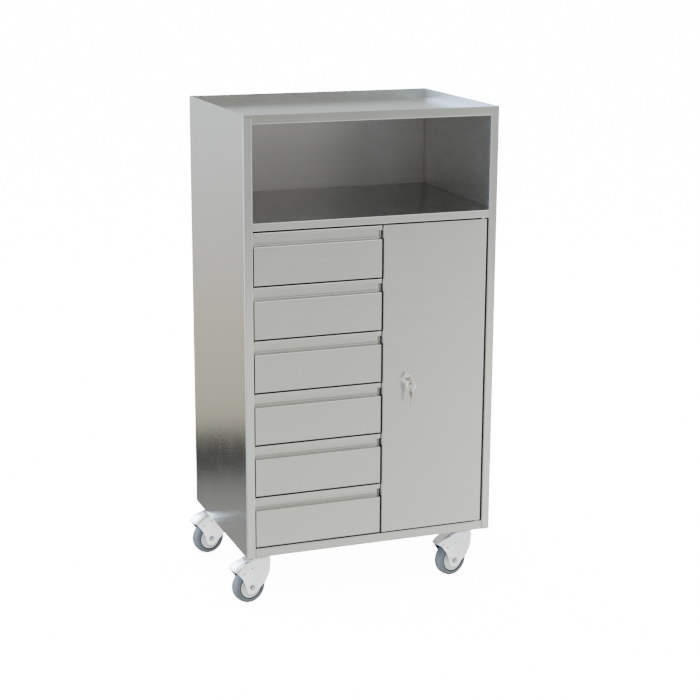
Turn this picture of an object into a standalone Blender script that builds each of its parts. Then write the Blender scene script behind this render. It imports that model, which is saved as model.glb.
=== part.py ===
"""A stainless steel medication cart on four swivel casters.

A recessed tray tops the cabinet. Below it are an open compartment, a column of six drawers and a
cupboard with a lockable door. Metres, +Z up, the front faces -Y. The origin is on the floor, under the
middle of the whole cart. Every cabinet piece is drawn in the cabinet's own frame: X from its middle, Y
back from its front face, Z up from its underside.
"""

import math

import bmesh
import bpy
from mathutils import Matrix, Vector

# The cabinet, its sheet metal, and where it stands
CABINET_WIDTH = 0.600
CABINET_DEPTH = 0.430
CABINET_HEIGHT = 1.000
CASTER_HEIGHT = 0.118
CABINET_X = 0.0166
CABINET_Y = -0.1978
SHEET = 0.0012
BEND = 0.0014
BEND_STEPS = 2
GAP = 0.0003
CLEARANCE = 0.00008

# The front, from its stiles to its rails
STILE_WIDTH = 0.020
STILE_RETURN = 0.012
REAR_FLANGE = 0.015
TRAY_RECESS = 0.020
TRAY_STRIP = 0.006
COMPARTMENT_FLOOR = 0.767
MIDDLE_RAIL = 0.018
BOTTOM_RAIL = 0.022
RAIL_RETURN = 0.015
RAIL_LAP = 0.030
FRONT_GAP = 0.003

# Drawers and their runners
DRAWER_COUNT = 6
DRAWER_LEFT = -0.278
DRAWER_RIGHT = 0.020
FRONT_THICKNESS = 0.018
GRIP_LIP = 0.010
GRIP_HEIGHT = 0.0316
FRONT_HEM = 0.012
BOX_SIDE_ROOM = 0.012
BOX_BACK = 0.395
BOX_RISE = 0.008
BOX_HEIGHT = 0.080
BOX_FLANGE = 0.009
RUNNER_REACH = 0.011
RUNNER_OPENING = 0.0055
RUNNER_FRONT = 0.022
RUNNER_BACK = 0.400
RUNNER_TOP_GAP = 0.004
RUNNER_PLAY = 0.0004

# The cupboard, its door and its lock
PARTITION_X = 0.023
PARTITION_FRONT = 0.021
PARTITION_FLANGE = 0.020
SHELF_FRONT = 0.032
SHELF_LIP = 0.015
SHELF_HEIGHTS = {"lower_shelf": 0.264, "upper_shelf": 0.506}
DOOR_LEFT = 0.0245
DOOR_RIGHT = 0.2755
DOOR_THICKNESS = 0.020
DOOR_LIP = 0.012
DOOR_TOP_GAP = 0.003
HINGE_X = 0.2695
HINGE_Y = 0.008
PIN_RADIUS = 0.003
PIN_GRIP = 0.012
BUSH_RADIUS = 0.0047
BUSH_FLANGE_RADIUS = 0.0062
LOCK_X = 0.085
LOCK_Z = 0.388
LOCK_LENGTH = 0.0242
LOCK_RADIUS = 0.009
LOCK_FLANGE_RADIUS = 0.011
LOCK_FLANGE = 0.002
NUT_RADIUS = 0.0135
NUT_THICKNESS = 0.005
PLUG_RADIUS = 0.006
BOSS_RADIUS = 0.0035
SCREW_HEAD_RADIUS = 0.0055
SCREW_RADIUS = 0.0015
CAM_LENGTH = 0.054
CAM_WIDTH = 0.015
CAM_THICKNESS = 0.0025
KEY_THICKNESS = 0.002
KEY_WIDTH = 0.0076
KEY_HOLE_RADIUS = 0.00225
KEY_HOLE_Y = -0.024
KEY_TIP_Y = 0.014
BOW_RADIUS = 0.0105
BOW_Y = -0.018
RING_RADIUS = 0.0103
RING_WIRE = 0.0007

# The casters
CASTER_INSET_X = 0.048
CASTER_INSET_Y = 0.047
CROSS_MEMBER_WIDTH = 0.0612
PLATE_THICKNESS = 0.003
CASTER_ANGLE = math.radians(15)
CASTER_TRAIL = 0.0365
WHEEL_RADIUS = 0.040
TYRE_INNER = 0.0285
TYRE_HALF_WIDTH = 0.014
FORK_HALF_WIDTH = 0.0195
FORK_SHEET = 0.0025
AXLE_RADIUS = 0.004
BOLT_HEAD_RADIUS = 0.0068
BOLT_HEAD = 0.0039
AXLE_HEIGHT = WHEEL_RADIUS - CASTER_HEIGHT
WHEEL_CENTRE = Vector((-CASTER_TRAIL, 0, AXLE_HEIGHT))
KING_PIN_RADIUS = 0.006
FORK_TOP = -0.0095
FOOT_RADIUS = 0.016
SHOULDER = 0.009
FORK_CROWN = [
    (-0.081, -0.032),
    (-0.0764, -0.0255),
    (-0.067, -0.0195),
    (-0.0545, -0.0150),
    (-0.040, -0.0112),
    (-0.027, FORK_TOP),
]
CROWN_FLOOR = -0.035
CROWN_FRONT = 0.0116
ROUND_SIDES = 20
WHEEL_SIDES = 28

HALF_WIDTH = CABINET_WIDTH / 2
OPENING_HALF = HALF_WIDTH - STILE_WIDTH
INNER_HALF = HALF_WIDTH - SHEET - GAP
RAIL_HALF = OPENING_HALF - GAP
INNER_BACK = CABINET_DEPTH - 2 * SHEET - 2 * GAP - SHEET
MIDDLE_RAIL_BOTTOM = COMPARTMENT_FLOOR - MIDDLE_RAIL
DRAWER_PITCH = (MIDDLE_RAIL_BOTTOM - BOTTOM_RAIL - FRONT_GAP) / DRAWER_COUNT
DRAWER_HEIGHT = DRAWER_PITCH - FRONT_GAP
DOOR_BOTTOM = BOTTOM_RAIL + FRONT_GAP
DOOR_TOP = MIDDLE_RAIL_BOTTOM - DOOR_TOP_GAP
CORNERS = {"front_left": (-1, 0), "front_right": (1, 0), "back_left": (-1, 1), "back_right": (1, 1)}


def clear_scene():
    for thing in list(bpy.data.objects):
        bpy.data.objects.remove(thing)


def material(name, colour, metallic, roughness):
    made = bpy.data.materials.new(name)
    made.use_nodes = True
    shader = made.node_tree.nodes["Principled BSDF"]
    shader.inputs["Base Color"].default_value = (*colour, 1)
    shader.inputs["Metallic"].default_value = metallic
    shader.inputs["Roughness"].default_value = roughness
    return made


def folded(path, thickness=SHEET, radius=BEND):
    """The closed outline of a sheet folded along a path of corner points, with a bend at each corner."""
    points = [Vector(point) for point in path]
    outer, inner = [], []

    def add(point, direction):
        normal = Vector((-direction.y, direction.x)) * thickness / 2
        outer.append(point + normal)
        inner.append(point - normal)

    add(points[0], (points[1] - points[0]).normalized())
    for before, corner, after in zip(points, points[1:], points[2:]):
        arriving = (corner - before).normalized()
        leaving = (after - corner).normalized()
        turn = math.atan2(arriving.cross(leaving), arriving.dot(leaving))
        side = math.copysign(radius, turn)
        start = corner - arriving * radius * math.tan(abs(turn) / 2)
        centre = start + Vector((-arriving.y, arriving.x)) * side
        for step in range(BEND_STEPS + 1):
            swing = Matrix.Rotation(turn * step / BEND_STEPS, 2)
            add(centre + swing @ (start - centre), swing @ arriving)
    add(points[-1], (points[-1] - points[-2]).normalized())
    return outer + inner[::-1]


def prism(outline, axis, start, end):
    """An outline extruded along an axis: its points are (y, z) for X, (x, z) for Y and (x, y) for Z."""
    slot = "XYZ".index(axis)
    shape = bmesh.new()
    corners = []
    for point in outline:
        place = list(point)
        place.insert(slot, start)
        corners.append(shape.verts.new(place))
    extruded = bmesh.ops.extrude_face_region(shape, geom=[shape.faces.new(corners)])
    pushed = [item for item in extruded["geom"] if isinstance(item, bmesh.types.BMVert)]
    bmesh.ops.translate(shape, verts=pushed, vec=Vector([(end - start) * (i == slot) for i in range(3)]))
    bmesh.ops.recalc_face_normals(shape, faces=shape.faces)
    return shape


def box(low, high):
    outline = [(low[0], low[1]), (high[0], low[1]), (high[0], high[1]), (low[0], high[1])]
    return prism(outline, "Z", low[2], high[2])


def turned(profile, sides=ROUND_SIDES):
    """A closed profile of (radius, height) points turned about Z. A point of radius 0 lies on the axis."""
    shape = bmesh.new()
    rings = []
    for radius, height in profile:
        count = sides if radius > 0 else 1
        angles = [math.tau * i / sides for i in range(count)]
        rings.append([shape.verts.new((radius * math.cos(a), radius * math.sin(a), height)) for a in angles])
    for ring, following in zip(rings, rings[1:] + rings[:1]):
        for i in range(sides):
            j = (i + 1) % sides
            if len(ring) == 1 and len(following) == 1:
                continue
            if len(ring) == 1:
                shape.faces.new((ring[0], following[i], following[j]))
            elif len(following) == 1:
                shape.faces.new((ring[i], following[0], ring[j]))
            else:
                shape.faces.new((ring[i], following[i], following[j], ring[j]))
    bmesh.ops.recalc_face_normals(shape, faces=shape.faces)
    return shape


def rod(radius, bottom, top, sides=ROUND_SIDES):
    return turned([(0, bottom), (radius, bottom), (radius, top), (0, top)], sides)


def moved(shape, matrix):
    bmesh.ops.transform(shape, matrix=matrix, verts=shape.verts)
    return shape


def shifted(shape, x=0, y=0, z=0):
    return moved(shape, Matrix.Translation((x, y, z)))


def along_y(shape):
    """Turns a shape drawn along +Z so that it lies along +Y."""
    return moved(shape, Matrix.Rotation(-math.pi / 2, 4, "X"))


def link(thing):
    bpy.context.scene.collection.objects.link(thing)
    return thing


def combined(operation, shapes):
    """The exact union of the shapes, or the first one with the others cut out of it."""
    solids = []
    for shape in shapes:
        mesh = bpy.data.meshes.new("piece")
        shape.to_mesh(mesh)
        shape.free()
        solids.append(link(bpy.data.objects.new("piece", mesh)))
    for other in solids[1:]:
        boolean = solids[0].modifiers.new("boolean", "BOOLEAN")
        boolean.operation = operation
        boolean.object = other
    result = bmesh.new()
    result.from_object(solids[0], bpy.context.evaluated_depsgraph_get())
    for solid in solids:
        bpy.data.meshes.remove(solid.data)
    return result


def joined(*shapes):
    return combined("UNION", shapes)


def cut(*shapes):
    return combined("DIFFERENCE", shapes)


def mesh_of(name, shape, finish):
    mesh = bpy.data.meshes.new(name)
    shape.to_mesh(mesh)
    shape.free()
    mesh.materials.append(finish)
    mesh.shade_smooth()
    mesh.set_sharp_from_angle(angle=math.radians(35))
    return mesh


def add_part(name, mesh, frame):
    part = link(bpy.data.objects.new(name, mesh))
    part.parent = frame
    return part


def add_frame(name, location, parent=None, turn=0):
    """An empty that its pieces hang on, placed on their joint's axis."""
    frame = link(bpy.data.objects.new(name, None))
    frame.location = location
    frame.rotation_euler.z = turn
    frame.parent = parent
    return frame


def side_panel(side):
    """A side folded from one sheet: stile return, stile, side and rear flange, notched for the tray."""
    half = SHEET / 2
    path = [
        (side * (OPENING_HALF + half), STILE_RETURN),
        (side * (OPENING_HALF + half), half),
        (side * (HALF_WIDTH - half), half),
        (side * (HALF_WIDTH - half), CABINET_DEPTH - half),
        (side * (HALF_WIDTH - REAR_FLANGE), CABINET_DEPTH - half),
    ]
    panel = prism(folded(path), "Z", 0, CABINET_HEIGHT)
    near, far = OPENING_HALF - SHEET, HALF_WIDTH - 2 * SHEET - GAP
    back, top = STILE_RETURN + SHEET, CABINET_HEIGHT + SHEET
    notches = []
    for front, edge, base in (
        (-SHEET, far, CABINET_HEIGHT - TRAY_STRIP - GAP),
        (SHEET + GAP, OPENING_HALF + 2 * SHEET, CABINET_HEIGHT - TRAY_RECESS - GAP),
    ):
        left, right = sorted((side * near, side * edge))
        notches.append(box((left, front, base), (right, back, top)))
    return cut(panel, *notches)


def back_panel():
    low = (-INNER_HALF, INNER_BACK + GAP, GAP)
    return box(low, (INNER_HALF, INNER_BACK + GAP + SHEET, CABINET_HEIGHT - TRAY_RECESS - GAP))


def top_tray():
    """The recessed top: a pan inside the cabinet's walls, with a rail folded from its front."""
    top, floor = CABINET_HEIGHT, CABINET_HEIGHT - TRAY_RECESS
    half, front, back = SHEET / 2, SHEET + GAP, INNER_BACK + GAP + SHEET
    outside = box((-INNER_HALF, front, floor), (INNER_HALF, back, top))
    low = (SHEET - INNER_HALF, front + SHEET, floor + SHEET)
    pan = cut(outside, box(low, (INNER_HALF - SHEET, back - SHEET, top + SHEET)))
    path = [(RAIL_LAP, floor + half), (half, floor + half), (half, top - half)]
    rail = prism(folded(path), "X", -RAIL_HALF, RAIL_HALF)
    strip_end = HALF_WIDTH - 2 * SHEET - 2 * GAP
    strip = box((-strip_end, 0, top - TRAY_STRIP), (strip_end, front + half, top))
    return joined(pan, rail, strip)


def railed_floor(path, level):
    """A floor sheet on the level of its top face, folded down at the front into a rail between the stiles.

    It is notched round the stile returns, and an ear at each front corner closes the hollow stile.
    """
    rail = prism(folded(path), "X", -RAIL_HALF, RAIL_HALF)
    ear, tip, notch = OPENING_HALF + SHEET + GAP, 2 * SHEET, STILE_RETURN + GAP
    outline = [(-INNER_HALF, tip), (-ear, tip), (-ear, notch), (ear, notch), (ear, tip), (INNER_HALF, tip)]
    outline += [(INNER_HALF, INNER_BACK), (-INNER_HALF, INNER_BACK)]
    return joined(rail, prism(outline, "Z", level - SHEET, level))


def pivot_hole(radius):
    """A cutter on the door's hinge axis, centred on height 0."""
    return shifted(rod(radius, -0.01, 0.01), HINGE_X, HINGE_Y)


def compartment_floor():
    half = SHEET / 2
    base, top = MIDDLE_RAIL_BOTTOM + half, COMPARTMENT_FLOOR - half
    path = [(RAIL_RETURN, base), (half, base), (half, top), (RAIL_LAP, top)]
    floor = railed_floor(path, COMPARTMENT_FLOOR)
    return cut(floor, shifted(pivot_hole(BUSH_RADIUS + GAP), z=MIDDLE_RAIL_BOTTOM))


def bottom_panel():
    half = SHEET / 2
    top = BOTTOM_RAIL - half
    path = [(RAIL_RETURN, half), (half, half), (half, top), (RAIL_LAP, top)]
    floor = railed_floor(path, BOTTOM_RAIL)
    return cut(floor, shifted(pivot_hole(BUSH_RADIUS + GAP), z=BOTTOM_RAIL))


def cross_member(centre):
    """The channel under the bottom that the caster plates are bolted to."""
    front, back = centre - CROSS_MEMBER_WIDTH / 2, centre + CROSS_MEMBER_WIDTH / 2
    base, top = SHEET / 2, BOTTOM_RAIL - SHEET - GAP
    path = [(front, top), (front, base), (back, base), (back, top)]
    return prism(folded(path), "X", -INNER_HALF, INNER_HALF)


def centre_partition():
    """The wall between the drawers and the cupboard. Its front flange is what the lock's cam hooks behind."""
    half = SHEET / 2
    front, back = PARTITION_FRONT + half, INNER_BACK - GAP - half
    path = [(PARTITION_X + PARTITION_FLANGE, front), (PARTITION_X, front)]
    path += [(PARTITION_X, back), (PARTITION_X + 0.010, back)]
    return prism(folded(path), "Z", BOTTOM_RAIL + GAP, COMPARTMENT_FLOOR - SHEET - GAP)


def cupboard_shelf():
    half = SHEET / 2
    front, back = SHELF_FRONT + half, INNER_BACK - 0.004
    path = [(front, -SHELF_LIP), (front, -half), (back, -half), (back, -SHELF_LIP)]
    return prism(folded(path), "X", PARTITION_X + half + GAP, INNER_HALF)


def drawer_base(number):
    """The height of the underside of drawer front number 1 to 6, counted from the top."""
    return MIDDLE_RAIL_BOTTOM - number * DRAWER_PITCH


def runner_comb(face, reach):
    """The section of a runner frame: an upright sheet whose teeth form one channel for each drawer."""
    web = face - math.copysign(SHEET, reach)
    top, bottom = MIDDLE_RAIL_BOTTOM - RUNNER_TOP_GAP, BOTTOM_RAIL + GAP
    outline = [(web, bottom), (face, bottom)]
    for number in range(DRAWER_COUNT, 0, -1):
        seat = drawer_base(number) + BOX_RISE + BOX_HEIGHT - SHEET - RUNNER_PLAY
        for tooth in (seat - SHEET, seat + RUNNER_OPENING):
            outline += [(face, tooth), (face + reach, tooth)]
            outline += [(face + reach, tooth + SHEET), (face, tooth + SHEET)]
    return outline + [(face, top), (web, top)]


def left_runner_frame():
    """The comb on the cabinet side, with a wing at each end that stands it off the side panel."""
    face = -OPENING_HALF + SHEET / 2 + SHEET
    comb = prism(runner_comb(face, RUNNER_REACH), "Y", RUNNER_FRONT, RUNNER_BACK)
    top, bottom = MIDDLE_RAIL_BOTTOM - RUNNER_TOP_GAP, BOTTOM_RAIL + GAP
    wings = []
    for start in (RUNNER_FRONT, RUNNER_BACK - SHEET):
        wings.append(box((-INNER_HALF, start, bottom), (face - SHEET / 2, start + SHEET, top)))
    return joined(comb, *wings)


def right_runner_frame():
    """The comb that lies against the centre partition."""
    face = PARTITION_X - SHEET / 2 - GAP - SHEET
    return prism(runner_comb(face, -RUNNER_REACH), "Y", RUNNER_FRONT, RUNNER_BACK)


def drawer_front():
    """A drawer front folded from one sheet. A lip over a full-width channel at its top is the grip."""
    half, back = SHEET / 2, FRONT_THICKNESS - SHEET / 2
    ledge, base = -GRIP_HEIGHT, -DRAWER_HEIGHT + half
    path = [
        (half, -GRIP_LIP),
        (half, -half),
        (back, -half),
        (back, ledge),
        (half, ledge),
        (half, base),
        (back, base),
        (back, base + FRONT_HEM),
    ]
    pieces = [prism(folded(path), "X", DRAWER_LEFT, DRAWER_RIGHT)]
    for start in (DRAWER_LEFT, DRAWER_RIGHT - SHEET):
        pieces.append(box((start, half, base), (start + SHEET, back, ledge)))
    return joined(*pieces)


def drawer_box():
    """The open box behind a drawer front. The flanges along its top edges run in the runner channels."""
    half = SHEET / 2
    base = BOX_RISE - DRAWER_HEIGHT + half
    top = base + BOX_HEIGHT - SHEET
    left = DRAWER_LEFT + BOX_SIDE_ROOM
    right = DRAWER_RIGHT - BOX_SIDE_ROOM
    path = [(left - BOX_FLANGE, top), (left, top), (left, base), (right, base), (right, top)]
    path.append((right + BOX_FLANGE, top))
    front = FRONT_THICKNESS + GAP
    pieces = [prism(folded(path), "Y", front, BOX_BACK)]
    for start in (front, BOX_BACK - SHEET):
        pieces.append(box((left, start, base), (right, start + SHEET, top)))
    return joined(*pieces)


def door_panel():
    """The door's outer pan, with lips round its back for the liner and holes for the lock and the pins."""
    half, back = SHEET / 2, DOOR_THICKNESS - SHEET / 2
    left, right = DOOR_LEFT + half, DOOR_RIGHT - half
    path = [(DOOR_LEFT + DOOR_LIP, back), (left, back), (left, half)]
    path += [(right, half), (right, back), (DOOR_RIGHT - DOOR_LIP, back)]
    pieces = [prism(folded(path), "Z", DOOR_BOTTOM, DOOR_TOP)]
    for base in (DOOR_BOTTOM, DOOR_TOP - SHEET):
        pieces.append(box((left, half, base), (right, back, base + SHEET)))
    lock_hole = shifted(along_y(rod(LOCK_RADIUS + GAP, -0.01, 0.01)), LOCK_X, 0, LOCK_Z)
    pin_holes = [shifted(pivot_hole(PIN_RADIUS + GAP), z=height) for height in (DOOR_BOTTOM, DOOR_TOP)]
    return cut(joined(*pieces), lock_hole, *pin_holes)


def door_liner():
    """The flat sheet that stiffens the door from inside its lips, with a hole round the lock."""
    margin = 0.004
    back = DOOR_THICKNESS - SHEET - GAP
    low = (DOOR_LEFT + margin, back - SHEET, DOOR_BOTTOM + margin)
    sheet = box(low, (DOOR_RIGHT - margin, back, DOOR_TOP - margin))
    return cut(sheet, shifted(along_y(rod(NUT_RADIUS + 0.001, 0, 0.03)), LOCK_X, 0, LOCK_Z))


def hinge_pin(bottom, top):
    return shifted(rod(PIN_RADIUS, bottom, top), HINGE_X, HINGE_Y)


def hinge_bush(rail, direction):
    """A flanged bush in a rail, its flange towards the door. Direction is the way the door lies."""
    bore = PIN_RADIUS + CLEARANCE
    face, rim, end = direction * GAP, direction * 0.0015, -direction * 0.0035
    profile = [(bore, rim), (BUSH_FLANGE_RADIUS, rim), (BUSH_FLANGE_RADIUS, face), (BUSH_RADIUS, face)]
    profile += [(BUSH_RADIUS, end), (bore, end)]
    return shifted(turned(profile), HINGE_X, HINGE_Y, rail)


def lock_housing():
    """The barrel that the lock's plug turns in, with its round flange on the front of the door."""
    bore, rim, edge = PLUG_RADIUS + CLEARANCE, LOCK_FLANGE_RADIUS, LOCK_FLANGE / 4
    profile = [(bore, -LOCK_FLANGE), (rim - edge, -LOCK_FLANGE), (rim, edge - LOCK_FLANGE), (rim, -GAP)]
    profile += [(LOCK_RADIUS, -GAP), (LOCK_RADIUS, LOCK_LENGTH), (bore, LOCK_LENGTH)]
    return along_y(turned(profile))


def lock_nut():
    """The nut that clamps the lock from inside the door."""
    start = SHEET + GAP
    blank = rod(NUT_RADIUS, start, start + NUT_THICKNESS, 6)
    return along_y(cut(blank, rod(LOCK_RADIUS + GAP, 0, 2 * NUT_THICKNESS)))


def lock_plug():
    """The turning core, with a slot for the key in front and a boss and bore for the cam behind."""
    face, boss_end, bore = -LOCK_FLANGE - 0.0002, LOCK_LENGTH + GAP + CAM_THICKNESS, SCREW_RADIUS + GAP
    profile = [(0, face), (PLUG_RADIUS, face), (PLUG_RADIUS, LOCK_LENGTH), (BOSS_RADIUS, LOCK_LENGTH)]
    profile += [(BOSS_RADIUS, boss_end), (bore, boss_end), (bore, boss_end - 0.008), (0, boss_end - 0.008)]
    half_width, half_height = KEY_THICKNESS / 2 + GAP, KEY_WIDTH / 2 + GAP
    slot = box((-half_width, -0.01, -half_height), (half_width, KEY_TIP_Y + GAP, half_height))
    return cut(along_y(turned(profile)), slot)


def lock_cam():
    """The arm behind the door. It hangs down when unlocked and reaches behind the partition when locked."""
    start, half_width = LOCK_LENGTH + GAP, CAM_WIDTH / 2
    outline = []
    for step in range(13):
        angle = math.pi * step / 12
        outline.append((half_width * math.cos(angle), half_width * math.sin(angle)))
    outline += [(-half_width, half_width - CAM_LENGTH), (half_width, half_width - CAM_LENGTH)]
    plate = prism(outline, "Y", start, start + CAM_THICKNESS)
    return cut(plate, along_y(rod(BOSS_RADIUS + GAP, 0, 0.05)))


def cam_screw():
    """The screw that holds the cam on the plug."""
    face = LOCK_LENGTH + 2 * GAP + CAM_THICKNESS
    top, tip = face + 0.0022, face - 0.007
    profile = [(0, top), (SCREW_HEAD_RADIUS, top), (SCREW_HEAD_RADIUS, face), (SCREW_RADIUS, face)]
    profile += [(SCREW_RADIUS, tip), (0, tip)]
    return along_y(turned(profile))


def key():
    """A flat key along Y, its tip at +Y, with a round bow and a hole for the ring."""
    half, half_width = KEY_THICKNESS / 2, KEY_WIDTH / 2
    blade = box((-half, BOW_Y, -half_width), (half, KEY_TIP_Y, half_width))
    across = Matrix.Rotation(math.pi / 2, 4, "Y")
    bow = moved(rod(BOW_RADIUS, -half, half), Matrix.Translation((0, BOW_Y, 0)) @ across)
    hole = moved(rod(KEY_HOLE_RADIUS, -0.01, 0.01), Matrix.Translation((0, KEY_HOLE_Y, 0)) @ across)
    return cut(joined(bow, blade), hole)


def key_ring():
    """The wire ring, hanging from its topmost point. Its middle line is a circle in the plane Y = 0."""
    sides, around = 5, 20
    profile = []
    for step in range(sides):
        angle = math.tau * step / sides
        profile.append((RING_RADIUS + RING_WIRE * math.cos(angle), RING_WIRE * math.sin(angle)))
    return shifted(along_y(turned(profile, around)), z=-RING_RADIUS)


def caster_plate():
    """The mounting plate with its ball race and the king pin that the fork turns on."""
    base = -GAP - PLATE_THICKNESS
    plate = box((-0.040, -0.033, base), (0.040, 0.033, -GAP))
    middle, race, washer, head = base / 2, base - 0.0055, base - 0.0115, base - 0.0145
    profile = [(0, middle), (0.022, middle), (0.022, race), (KING_PIN_RADIUS, race)]
    profile += [(KING_PIN_RADIUS, washer), (0.010, washer), (0.010, head), (0, head)]
    return joined(plate, turned(profile))


def fork_side():
    """The fork seen from the side, as (x, z) points that end with the crown. The wheel trails towards -X."""
    axle = Vector((-CASTER_TRAIL, AXLE_HEIGHT))
    lead = [(0.0115, FORK_TOP), (0.0125, -0.022), (0.0115, -0.036), (0.0085, -0.052)]
    lead.append((-0.001, -0.069))
    foot = []
    for step in range(7):
        angle = math.radians(-50 - 100 * step / 6)
        foot.append(axle + FOOT_RADIUS * Vector((math.cos(angle), math.sin(angle))))
    heel = [(-0.0555, -0.069), (-0.0615, -0.055)]
    return lead + foot + heel + FORK_CROWN


def fork_cavity():
    """The room for the wheel: all that lies under the crown, drawn in by the sheet's thickness."""
    crown = [(-0.079, -0.0345), (-0.0744, -0.0274), (-0.0656, -0.0219), (-0.0535, -0.0175)]
    crown += [(-0.0395, -0.0138), (-0.027, FORK_TOP - FORK_SHEET)]
    return [(0.030, FORK_TOP - FORK_SHEET), (0.030, -0.120), (-0.120, -0.120), (-0.120, -0.050)] + crown


def crowned(outline, half_width, radius):
    """An outline as wide as the fork, with the edges along its crown rounded over to a radius."""
    shape = prism(outline, "Y", -half_width, half_width)
    crown_edges = []
    for edge in shape.edges:
        low, high = (vert.co for vert in edge.verts)
        along_side = abs(low.y - high.y) < GAP
        if along_side and min(low.z, high.z) > CROWN_FLOOR and max(low.x, high.x) < CROWN_FRONT:
            crown_edges.append(edge)
    bmesh.ops.bevel(shape, geom=crown_edges, offset=radius, segments=2, profile=0.5, affect="EDGES")
    return shape


def fork():
    """The pressed fork: a hood over the wheel with two cheeks, and a round head on the king pin."""
    body = crowned(fork_side(), FORK_HALF_WIDTH, SHOULDER)
    cavity = crowned(fork_cavity(), FORK_HALF_WIDTH - FORK_SHEET, SHOULDER - FORK_SHEET)
    head = rod(0.024, FORK_TOP - FORK_SHEET, FORK_TOP)
    pin_hole = rod(KING_PIN_RADIUS + CLEARANCE, -0.030, 0)
    axle_hole = moved(along_y(rod(AXLE_RADIUS + GAP, -0.030, 0.030)), Matrix.Translation(WHEEL_CENTRE))
    return cut(joined(cut(body, cavity), head), pin_hole, axle_hole)


def axle():
    """The wheel's bolt and nut, outside the fork's cheeks."""
    inner = FORK_HALF_WIDTH + GAP
    outer = inner + BOLT_HEAD
    profile = [(0, -outer), (BOLT_HEAD_RADIUS, -outer), (BOLT_HEAD_RADIUS, -inner), (AXLE_RADIUS, -inner)]
    profile += [(AXLE_RADIUS, inner), (BOLT_HEAD_RADIUS, inner), (BOLT_HEAD_RADIUS, outer), (0, outer)]
    return along_y(turned(profile))


def hub():
    """The wheel's plastic hub: a web between its boss and its rim."""
    bore, boss, rim = AXLE_RADIUS + CLEARANCE, 0.010, TYRE_INNER - GAP
    profile = [(bore, -0.0152), (boss, -0.0152), (0.0125, -0.007), (0.0235, -0.007), (rim, -0.0115)]
    profile += [(radius, -height) for radius, height in reversed(profile)]
    return along_y(turned(profile, WHEEL_SIDES))


def tyre():
    """The solid tyre, with rounded shoulders and a slightly crowned tread."""
    side = [(TYRE_INNER, 0.0125), (0.0330, TYRE_HALF_WIDTH), (0.0380, 0.0110), (WHEEL_RADIUS, 0.004)]
    profile = [(radius, -height) for radius, height in side] + side[::-1]
    return along_y(turned(profile, WHEEL_SIDES))


def finishes():
    return {
        "steel": material("brushed_stainless", (0.42, 0.42, 0.40), 1.0, 0.32),
        "runner": material("zinc_runner", (0.50, 0.51, 0.52), 1.0, 0.40),
        "zinc": material("bright_zinc", (0.74, 0.76, 0.79), 1.0, 0.22),
        "chrome": material("lock_chrome", (0.80, 0.80, 0.80), 1.0, 0.12),
        "nickel": material("key_nickel", (0.55, 0.53, 0.48), 1.0, 0.28),
        "rubber": material("tyre_rubber", (0.24, 0.28, 0.31), 0.0, 0.60),
        "plastic": material("hub_plastic", (0.66, 0.69, 0.69), 0.0, 0.45),
        "nylon": material("bush_nylon", (0.75, 0.75, 0.72), 0.0, 0.50),
    }


def add_cabinet(frame, finish):
    shapes = {
        "left_side_panel": side_panel(-1),
        "right_side_panel": side_panel(1),
        "back_panel": back_panel(),
        "top_tray": top_tray(),
        "compartment_floor": compartment_floor(),
        "bottom_panel": bottom_panel(),
        "front_cross_member": cross_member(CASTER_INSET_Y),
        "rear_cross_member": cross_member(CABINET_DEPTH - CASTER_INSET_Y),
        "centre_partition": centre_partition(),
    }
    for name, shape in shapes.items():
        add_part(name, mesh_of(name, shape, finish["steel"]), frame)
    shelf = mesh_of("cupboard_shelf", cupboard_shelf(), finish["steel"])
    for name, height in SHELF_HEIGHTS.items():
        add_part(name, shelf, frame).location.z = height
    runner_frames = {"left_runner_frame": left_runner_frame(), "right_runner_frame": right_runner_frame()}
    for name, shape in runner_frames.items():
        add_part(name, mesh_of(name, shape, finish["runner"]), frame)
    bushes = {
        "upper_hinge_bush": hinge_bush(MIDDLE_RAIL_BOTTOM, -1),
        "lower_hinge_bush": hinge_bush(BOTTOM_RAIL, 1),
    }
    for name, shape in bushes.items():
        add_part(name, mesh_of(name, shape, finish["nylon"]), frame)


def add_drawers(cabinet, finish):
    front = mesh_of("drawer_front", drawer_front(), finish["steel"])
    inner_box = mesh_of("drawer_box", drawer_box(), finish["steel"])
    for number in range(1, DRAWER_COUNT + 1):
        frame = add_frame(f"drawer_slide_{number}", (0, 0, drawer_base(number) + DRAWER_HEIGHT), cabinet)
        add_part(f"drawer_front_{number}", front, frame)
        add_part(f"drawer_box_{number}", inner_box, frame)


def add_door(cabinet, finish):
    hinge = add_frame("door_hinge", (HINGE_X, HINGE_Y, 0), cabinet)
    top_pin = (DOOR_TOP - PIN_GRIP, DOOR_TOP + DOOR_TOP_GAP + 0.0035)
    bottom_pin = (DOOR_BOTTOM - FRONT_GAP - 0.0035, DOOR_BOTTOM + PIN_GRIP)
    shapes = {
        "door_panel": (door_panel(), "steel"),
        "door_liner": (door_liner(), "steel"),
        "upper_hinge_pin": (hinge_pin(*top_pin), "zinc"),
        "lower_hinge_pin": (hinge_pin(*bottom_pin), "zinc"),
        "lock_housing": (shifted(lock_housing(), LOCK_X, 0, LOCK_Z), "chrome"),
        "lock_nut": (shifted(lock_nut(), LOCK_X, 0, LOCK_Z), "zinc"),
    }
    for name, (shape, slot) in shapes.items():
        add_part(name, mesh_of(name, shifted(shape, -HINGE_X, -HINGE_Y), finish[slot]), hinge)
    add_lock(hinge, finish)


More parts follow.
